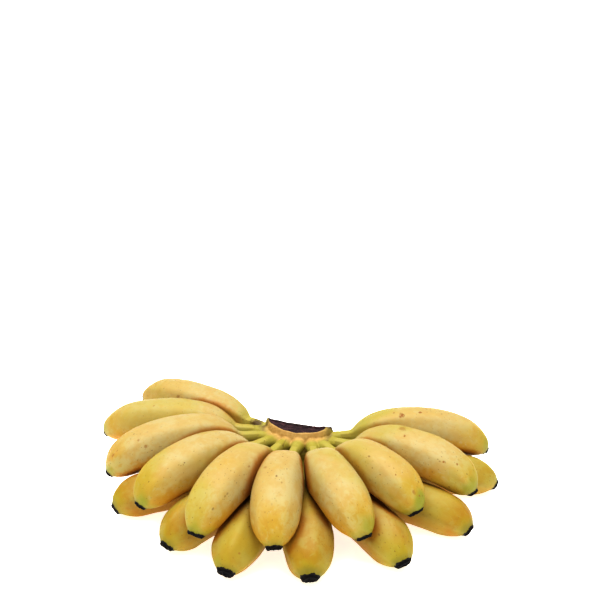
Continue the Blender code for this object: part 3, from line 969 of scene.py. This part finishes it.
# %% [markdown]
# ## Where the peel is still green
#
# Peel turns yellow last on the stalk and round the blossom end. Some fruits keep a breath of
# green all over, and a few ends keep a patch of real green.

# %% Green parts
LEAF = (0.430, 0.370, 0.052)
KNUCKLE = (0.420, 0.370, 0.075)
GREEN = (0.370, 0.300, 0.020)
DEEP_GREEN = (0.170, 0.155, 0.012)
LIME = (0.270, 0.280, 0.020)
CAST_SIZE = 0.026
# Which fruit, how far along and how far round it (0 to 1), the patch's size and its strength
GREENS = (
    ("upper_08", 0.935, 0.545, 0.0115, 0.85),
    ("upper_04", 0.957, 0.650, 0.0105, 0.75),
    ("upper_09", 0.940, 0.340, 0.0095, 0.60),
    ("upper_07", 0.955, 0.560, 0.0100, 0.55),
    ("upper_10", 0.950, 0.390, 0.0080, 0.40),
    ("upper_03", 0.966, 0.620, 0.0080, 0.55),
    ("upper_05", 0.970, 0.560, 0.0090, 0.45),
    ("upper_02", 0.965, 0.560, 0.0070, 0.35),
    ("lower_05", 0.960, 0.900, 0.0090, 0.35),
)


def spots_on_peel(rows, spread=1.0):
    """Spots for the points of the skin at a share of a fruit's rows and of its columns."""
    spots = []
    for name, along, around, size, strength in rows:
        row, column = round(along * (FRUIT_ROWS - 1)), round(around * FRUIT_COLUMNS)
        spots.append((fruit_skins[name][row, column % FRUIT_COLUMNS], size * spread, strength))
    return spots


def greened(f, p, colour):
    """A breath of green, then the stalk, the blossom end and the patches."""
    cast = f.noise(p.straight, CAST_SIZE, detail=3.0).between(0.46, 0.64)
    colour = f.mix(cast * (0.30 + 0.30 * p.unripe), colour, LEAF)
    neck = 1 - (p.from_root + p.ragged).between(0.010, 0.034)
    tip = 1 - (p.to_end + p.ragged).between(-0.001, 0.006 + 0.010 * p.unripe)
    scar = 1 - (p.to_end + p.ragged * 0.3).between(0.000, 0.005)
    colour = f.mix(neck * 0.85, colour, KNUCKLE)
    colour = f.mix(tip * (0.35 + 0.60 * p.unripe), colour, GREEN)
    colour = f.mix(scar * 0.60, colour, DEEP_GREEN)
    return f.mix(f.places(p.place, (p.drift - 0.5) * 1.6, spots_on_peel(GREENS)), colour, LIME)


# %% [markdown]
# ## Flecks, bruises and dark places
#
# Ripe peel carries small brown flecks, more on one side than on another. Where fruits have
# rubbed together it browns a little. A few larger bruises have a ragged edge and stand where a
# knock happened, so they are listed one by one. The rim of the blossom is scorched black, and
# beside the crown some stalks are dark brown.

# %% Flecks
FLECK = (0.150, 0.060, 0.016)
GATHER_SIZE = 0.022
# Distance between cells, a fleck's share of it, how rare flecks are, and a shift of the pattern
FLECK_KINDS = (
    (0.0021, 0.19, 0.42, 1.7),
    (0.0036, 0.17, 0.50, 0.0),
    (0.0080, 0.12, 0.52, 3.1),
)


def flecks(f, p):
    """1 on small dots: one in a few cells has a dot, and slow noise gathers them."""
    dots = None
    for size, reach, rarity, shift in FLECK_KINDS:
        wobble = f.scaled(p.straight, (1.0, 1.0, 0.8), (shift, shift, shift))
        near = f.cells(wobble, size)
        tint = f.parts(f.cells(wobble, size, "Color"))
        here = tint[0].between(rarity, rarity + 0.02)
        dot = (1 - near.between(reach * 0.4, reach)) * here * (0.35 + 0.65 * tint[1])
        dots = dot if dots is None else dots.at_least(dot)
    gathered = f.noise(p.straight, GATHER_SIZE, detail=1.0).between(0.36, 0.60)
    return dots * (0.35 + 0.65 * gathered)


# %% Marks
BRUISE = (0.300, 0.125, 0.028)
BLACK = (0.008, 0.005, 0.005)
PATCH_BROWN = (0.095, 0.052, 0.022)
MARK_SPREAD = 0.75         # sizes below are those of the faint edge
# Bruises, given in the same way as the green patches
MARKS = (
    ("upper_10", 0.463, 0.429, 0.0046, 0.95),
    ("upper_10", 0.430, 0.476, 0.0018, 0.90),
    ("upper_10", 0.544, 0.464, 0.0024, 0.85),
    ("upper_09", 0.510, 0.524, 0.0060, 0.45),
    ("upper_09", 0.537, 0.440, 0.0018, 0.85),
    ("upper_09", 0.738, 0.369, 0.0014, 0.80),
    ("upper_09", 0.792, 0.417, 0.0014, 0.80),
    ("upper_08", 0.872, 0.464, 0.0030, 0.60),
    ("upper_08", 0.906, 0.512, 0.0018, 0.80),
    ("upper_08", 0.758, 0.429, 0.0013, 0.80),
    ("upper_06", 0.591, 0.417, 0.0030, 0.45),
    ("upper_05", 0.570, 0.631, 0.0022, 0.60),
    ("upper_03", 0.866, 0.571, 0.0034, 0.60),
    ("upper_03", 0.705, 0.655, 0.0024, 0.60),
    ("upper_03", 0.725, 0.595, 0.0020, 0.50),
    ("upper_02", 0.624, 0.560, 0.0016, 0.60),
    ("upper_01", 0.604, 0.643, 0.0032, 0.55),
    ("lower_05", 0.893, 0.107, 0.0018, 0.60),
    ("lower_07", 0.879, 0.036, 0.0018, 0.50),
)
# Places where the crown and the stalks beside it are dark brown: place, size and strength
DARK_PATCHES = (
    ((-0.0330, 0.0510, 0.0385), 0.0085, 0.9),
    ((0.0265, 0.0560, 0.0420), 0.0045, 0.9),
    ((-0.0285, 0.0475, 0.0365), 0.0060, 0.9),
    ((0.0250, 0.0545, 0.0435), 0.0036, 0.9),
)


def marked(f, p, colour, dots):
    """Lays the marks over the peel: the colour, then the masks of rubbing, bruises and rim."""
    worn = p.rubbed * f.noise(p.straight, 0.003, detail=4.0).between(0.42, 0.66)
    colour = f.mix(worn * 0.50, colour, BRUISE)
    colour = f.mix(dots * 0.66, colour, FLECK)
    bruised = f.places(p.place, (p.fray - 0.5) * 2.4, spots_on_peel(MARKS, MARK_SPREAD))
    colour = f.mix(bruised, colour, BRUISE)
    rim = 1 - (p.to_end + (p.fray - 0.5) * 0.0030).between(0.0006, 0.0011)
    colour = f.mix(rim, colour, BLACK)
    root = 1 - (p.from_root + p.ragged * 0.5).between(-0.002, 0.006)
    colour = f.mix(root * 0.20, colour, GREEN)
    dark_patch = f.places(p.place, (p.fray - 0.5) * 1.2, DARK_PATCHES)
    return f.mix(dark_patch, colour, PATCH_BROWN), worn, bruised, rim


# %% [markdown]
# ## The whole peel
#
# The parts of the look are laid over each other in the order in which they came about. The wax on
# a peel is thin, so it shines softly, and light sinks a little into it. The relief is only what is
# too fine for the mesh: fibres, dimples and the edges of the flecks.

# %% Peel finish
PEEL_FIBRE, FIBRE_SQUEEZE, PEEL_DIMPLE = 0.00045, (1.0, 1.0, 0.12), 0.0013
PEEL_BUMP = (0.6, 0.00024)
PEEL_SHINE = 0.30
PEEL_DEPTH, PEEL_GLOW = 0.003, (1.0, 0.5, 0.12)


def peel_finish():
    """The peel's colour from its parts, its roughness from the marks, and its fine relief."""
    f = Finish("banana_peel")
    p = read_peel(f)
    dots = flecks(f, p)
    colour = greened(f, p, painted_light_and_shade(f, p, yellows(f, p)))
    colour, worn, bruised, rim = marked(f, p, colour, dots)
    fibre = f.noise(f.scaled(p.straight, FIBRE_SQUEEZE), PEEL_FIBRE, detail=3.0)
    dimple = f.noise(p.straight, PEEL_DIMPLE, detail=3.0, roughness=0.6)
    height = fibre * 0.35 + dimple * 0.8 + p.blotch * 0.8 + dots * 0.25 - bruised * 0.4
    rough = 0.46 + 0.14 * p.patch + 0.18 * dots + 0.15 * bruised + 0.08 * worn + 0.2 * rim
    return f.finish_with(
        Base_Color=colour, Roughness=rough, Normal=f.bump(height, *PEEL_BUMP),
        Subsurface_Weight=0.06, Subsurface_Radius=PEEL_GLOW, Subsurface_Scale=PEEL_DEPTH,
        Specular_IOR_Level=PEEL_SHINE)


peel = peel_finish()
print("peel:", len(peel.node_tree.nodes), "nodes")

# %% [markdown]
# ## The dried blossoms' finish
#
# The stubs are almost black, with a rusty brown in a few places, and quite matt. One fine noise
# is both their crumbs and their specks of colour.

# %% Blossom finish
SOOT, ASH, RUST = (0.004, 0.003, 0.003), (0.014, 0.009, 0.007), (0.060, 0.032, 0.015)
CRUMB_NOISE, RUST_NOISE = 0.0007, 0.0022
BLOSSOM_BUMP = (0.8, 0.0004)
BLOSSOM_SHINE = 0.18


def blossom_finish():
    """Soot to ash by crumbs, a little rust by slower noise, and a rough relief."""
    f = Finish("dried_blossom")
    place = f.node("TexCoord", out="Object")
    crumb = f.noise(place, CRUMB_NOISE, detail=5.0, roughness=0.65)
    cloud = f.noise(place, RUST_NOISE, detail=3.0)
    colour = f.mix(crumb.between(0.45, 0.75), SOOT, ASH)
    colour = f.mix(cloud.between(0.62, 0.78) * 0.4, colour, RUST)
    return f.finish_with(Base_Color=colour, Roughness=0.68 + 0.2 * cloud,
                         Normal=f.bump(crumb, *BLOSSOM_BUMP), Specular_IOR_Level=BLOSSOM_SHINE)


blossom = blossom_finish()
print("blossom:", len(blossom.node_tree.nodes), "nodes")

# %% [markdown]
# ## The rind of the crown
#
# The crown has three zones. Its stalk feet are yellow-green. The rind of its brow, right under
# the cut, is tan, with one crack, and is dark brown at both ends. An ellipse seen from above
# and a height together bound the brow, and noise makes the border uneven.

# %% Rind
TAN = (0.520, 0.330, 0.105)
BUFF = (0.570, 0.390, 0.145)
ROSY = (0.470, 0.270, 0.080)
BROWN = (0.105, 0.048, 0.020)
BROW = (0.0275, 0.0150)    # half width and depth of the tan brow seen from above
CRACK_X = -0.0035


def read_crown(f):
    """The place on the crown, the share of cut face, and the noises that its zones share."""
    c = types.SimpleNamespace()
    c.place = f.node("TexCoord", out="Object")
    c.x, c.y, c.z = f.parts(c.place)
    c.cut_face = f.attribute("cut", "Fac")
    c.cloud = f.noise(c.place, 0.005, detail=4.0, roughness=0.6)
    c.grain = f.noise(f.scaled(c.place, (1.0, 1.0, 0.25)), 0.0008, detail=4.0)
    c.fray = f.noise(c.place, FRAY_SIZE, detail=4.0, roughness=0.7)
    c.scabs = f.noise(c.place, 0.0022, detail=5.0, roughness=0.7).between(0.60, 0.70)
    return c


def rind_zones(f, c):
    """From yellow-green feet to a tan brow: the colour, and the share of brow."""
    across, along = (c.x - CROWN_X) * (1 / BROW[0]), (c.y - CROWN_Y) * (1 / BROW[1])
    outside = across * across + along * along + (c.cloud - 0.5) * 0.5
    brow = (c.z + (c.cloud - 0.5) * 0.010).between(0.0240, 0.0340)
    brow = brow * (1 - outside.between(0.80, 1.15))
    behind = (c.y - CROWN_Y + (c.cloud - 0.5) * 0.004).between(0.0020, 0.0055)
    brow = brow * (1 - 0.75 * behind * (1 - c.z.between(0.0360, 0.0405)))
    rind = f.mix(c.grain.between(0.42, 0.62) * 0.7, TAN, BUFF)
    rind = f.mix(c.cloud.between(0.50, 0.65) * 0.5, rind, ROSY)
    rind = f.mix(outside.between(0.40, 1.00) * 0.65, rind, KNUCKLE)
    feet = f.mix(0.55 + 0.45 * c.cloud.between(0.40, 0.62), GREEN, KNUCKLE)
    feet = f.mix(c.grain.between(0.55, 0.75) * 0.4, feet, LEAF)
    return f.mix(brow, feet, rind), brow


def rind_marks(f, c, colour, brow):
    """Scabs, dark brown ends and patches, and one crack: the colour, and the crack."""
    colour = f.mix(c.scabs * 0.45, colour, BROWN)
    brow_ends = (abs(c.x - CROWN_X) + (c.cloud - 0.5) * 0.012).between(0.0215, 0.0275) * brow
    colour = f.mix(brow_ends * 0.80, colour, BROWN)
    colour = f.mix(f.places(c.place, (c.fray - 0.5) * 1.2, DARK_PATCHES), colour, PATCH_BROWN)
    crack = 1 - abs(c.x - CRACK_X + (c.fray - 0.5) * 0.0012).between(0.0001, 0.0006)
    crack = crack * c.z.between(0.0340, 0.0365) * (1 - c.z.between(0.0385, 0.0400))
    return f.mix(crack * (1 - c.y.between(0.040, 0.044)) * 0.85, colour, BROWN), crack


# %% [markdown]
# ## The cut face
#
# The cut has dried to a dark plum brown, in fibres that run across it, with paler bundles where
# the vessels of the stalk were. It is darkest along its edge. The share of cut face that was
# stored on the mesh lays it over the rind.

# %% Crown finish
CUT_DARK = (0.026, 0.008, 0.012)
CUT_PALE = (0.120, 0.045, 0.050)
CUT_BUNDLE = (0.15, 0.08, 0.065)
CUT_EDGE = (0.018, 0.008, 0.008)
CUT_FIBRE, CUT_SQUEEZE, BUNDLE_SIZE = 0.0009, (0.30, 1.0, 1.0), 0.0016
CROWN_BUMP = (0.7, 0.0004)


def crown_finish():
    """The rind with its marks, the cut face laid over it, and the relief of both."""
    f = Finish("crown_rind")
    c = read_crown(f)
    colour, crack = rind_marks(f, c, *rind_zones(f, c))
    fibres = f.noise(f.scaled(c.place, CUT_SQUEEZE), CUT_FIBRE, detail=4.0, roughness=0.6)
    bundles = 1 - f.cells(c.place, BUNDLE_SIZE).between(0.10, 0.42)
    face = f.mix(fibres.between(0.45, 0.72), CUT_DARK, CUT_PALE)
    face = f.mix(bundles * 0.25, face, CUT_BUNDLE)
    colour = f.mix(c.cut_face.between(0.25, 0.60), colour, face)
    edge = c.cut_face.between(0.05, 0.30) * (1 - c.cut_face.between(0.85, 0.98))
    colour = f.mix(edge * 0.85, colour, CUT_EDGE)
    height = c.grain * 0.6 + c.cut_face * fibres * 1.4 + c.scabs * 0.3 - crack * 0.5
    rough = 0.55 + 0.2 * c.cloud + 0.12 * c.cut_face
    return f.finish_with(Base_Color=colour, Roughness=rough, Normal=f.bump(height, *CROWN_BUMP))


rind = crown_finish()
print("rind:", len(rind.node_tree.nodes), "nodes")

# %% [markdown]
# ## Dressing the solids
#
# Each piece gets its finish, rides on the hand's one body, and takes the place of the plain solid
# that has the same name in the frame.

# %% Finish, body and solid of each piece
def dress(piece, material, node):
    """Gives a piece its finish, ties it to the body and lets it stand for its solid."""
    piece.data.materials.clear()
    piece.data.materials.append(material)
    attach(piece, "root")
    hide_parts(node)


for fruit in fruits:
    dress(peel_objects[fruit.name], peel, f"banana_{fruit.name}")
    dress(blossom_objects[fruit.name], blossom, f"tip_{fruit.name}")
dress(crown, rind, "crown")
print("dressed:", 2 * len(fruits) + 1, "pieces")

# %% [markdown]
# ## The table
#
# The photograph's ground is pure white. One large square is enough for a table. It glows a
# little, so it stays white under the fruits too.

# %% Table
TABLE_HALF = 12.0
TABLE_WHITE, TABLE_ROUGH, TABLE_GLOW = (0.93, 0.93, 0.93), 0.9, 0.75
corners = TABLE_HALF * np.array([(-1, -1, 0), (1, -1, 0), (1, 1, 0), (-1, 1, 0)])
floor = mesh_object("table", corners, np.array([[0, 1, 2, 3]]), np.zeros((0, 3), int))
floor.data.materials.append(Finish("table_white").finish_with(
    Base_Color=TABLE_WHITE, Roughness=TABLE_ROUGH, Emission_Color=(1.0, 1.0, 1.0),
    Emission_Strength=TABLE_GLOW))
print("table:", 2 * TABLE_HALF, "m wide")

# %% [markdown]
# ## The light
#
# The photograph is a bright product shot, lit broadly from right above. The upper row then shades
# the lower one, and the ends that face the camera are deeper in colour than the tops. A sun lamp
# with a very wide disc lights the whole table evenly, and its shadows are as soft as those of a
# large softbox. A dimmer white world fills the shadows, and leaves the gaps between the fruits
# dark. A view gamma below one deepens the middle tones, as the photograph's contrast does.

# %% Lights
KEY_DIRECTION, KEY_POWER, KEY_WIDTH = (0.06, 0.00, -1.0), 4.00, 60.0
WORLD_POWER = 0.58
VIEW_GAMMA = 0.72


def facing(towards, upward=(0, 0, 1)):
    """The rotation that turns an object's -Z along a direction, with its top upward."""
    back = -np.asarray(towards, float) / np.linalg.norm(towards)
    right = np.cross(upward, back)
    right /= np.linalg.norm(right)
    return Matrix(np.stack([right, np.cross(back, right), back], 1).tolist())


key_data = bpy.data.lights.new("key", "SUN")
key_data.energy, key_data.angle = KEY_POWER, math.radians(KEY_WIDTH)
key = bpy.data.objects.new("key", key_data)
bpy.context.scene.collection.objects.link(key)
key.rotation_euler = facing(KEY_DIRECTION).to_euler()

world = bpy.data.worlds.new("white_room")
world.use_nodes = True
world.node_tree.nodes["Background"].inputs["Color"].default_value = (1, 1, 1, 1)
world.node_tree.nodes["Background"].inputs["Strength"].default_value = WORLD_POWER
bpy.context.scene.world = world
bpy.context.scene.view_settings.view_transform = "Standard"
bpy.context.scene.view_settings.gamma = VIEW_GAMMA
print("light: sun", KEY_POWER, "world", WORLD_POWER)

# %% [markdown]
# ## The camera
#
# The camera looks down on the hand from a little to the right of its middle. Two facts place it:
# the scale of the picture at the crown, and the pixel where the crown is seen.

# %% Camera
IMAGE_SIDE = 600           # pixels of the photograph, a square
AZIMUTH, ELEVATION = 17.0, 30.0
DISTANCE, PIXELS_PER_METRE = 0.85, 1300.0
CROWN_TOP, CROWN_PIXEL = 0.043, (296, 428)   # where the crown's middle is seen
SENSOR_WIDTH = 36.0


def aim_camera():
    """Places the camera so that the crown's middle is seen at its pixel, with no shift.

    The line of sight starts level with the elevation and is then turned up until the crown
    falls as far below the middle of the picture as in the photograph.
    """
    focal = PIXELS_PER_METRE * DISTANCE
    azimuth, elevation = math.radians(AZIMUTH), math.radians(ELEVATION)
    right = np.array([math.cos(azimuth), math.sin(azimuth), 0])
    level_back = np.array([math.sin(azimuth), -math.cos(azimuth), 0])
    back = level_back * math.cos(elevation) + np.array([0, 0, math.sin(elevation)])
    target = np.array([CROWN_X, CROWN_Y, CROWN_TOP])
    aside = (CROWN_PIXEL[0] - IMAGE_SIDE / 2) / focal * DISTANCE
    pitch = elevation - math.atan2(CROWN_PIXEL[1] - IMAGE_SIDE / 2, focal)
    sight = -level_back * math.cos(pitch) - np.array([0, 0, math.sin(pitch)])
    data = bpy.data.cameras.new("camera")
    data.sensor_width = SENSOR_WIDTH
    data.lens = focal / IMAGE_SIDE * SENSOR_WIDTH
    camera = bpy.data.objects.new("camera", data)
    bpy.context.scene.collection.objects.link(camera)
    camera.location = target + back * DISTANCE - right * aside
    camera.rotation_euler = facing(sight).to_euler()
    bpy.context.scene.camera = camera
    return camera


print("lens:", round(aim_camera().data.lens, 1), "mm")
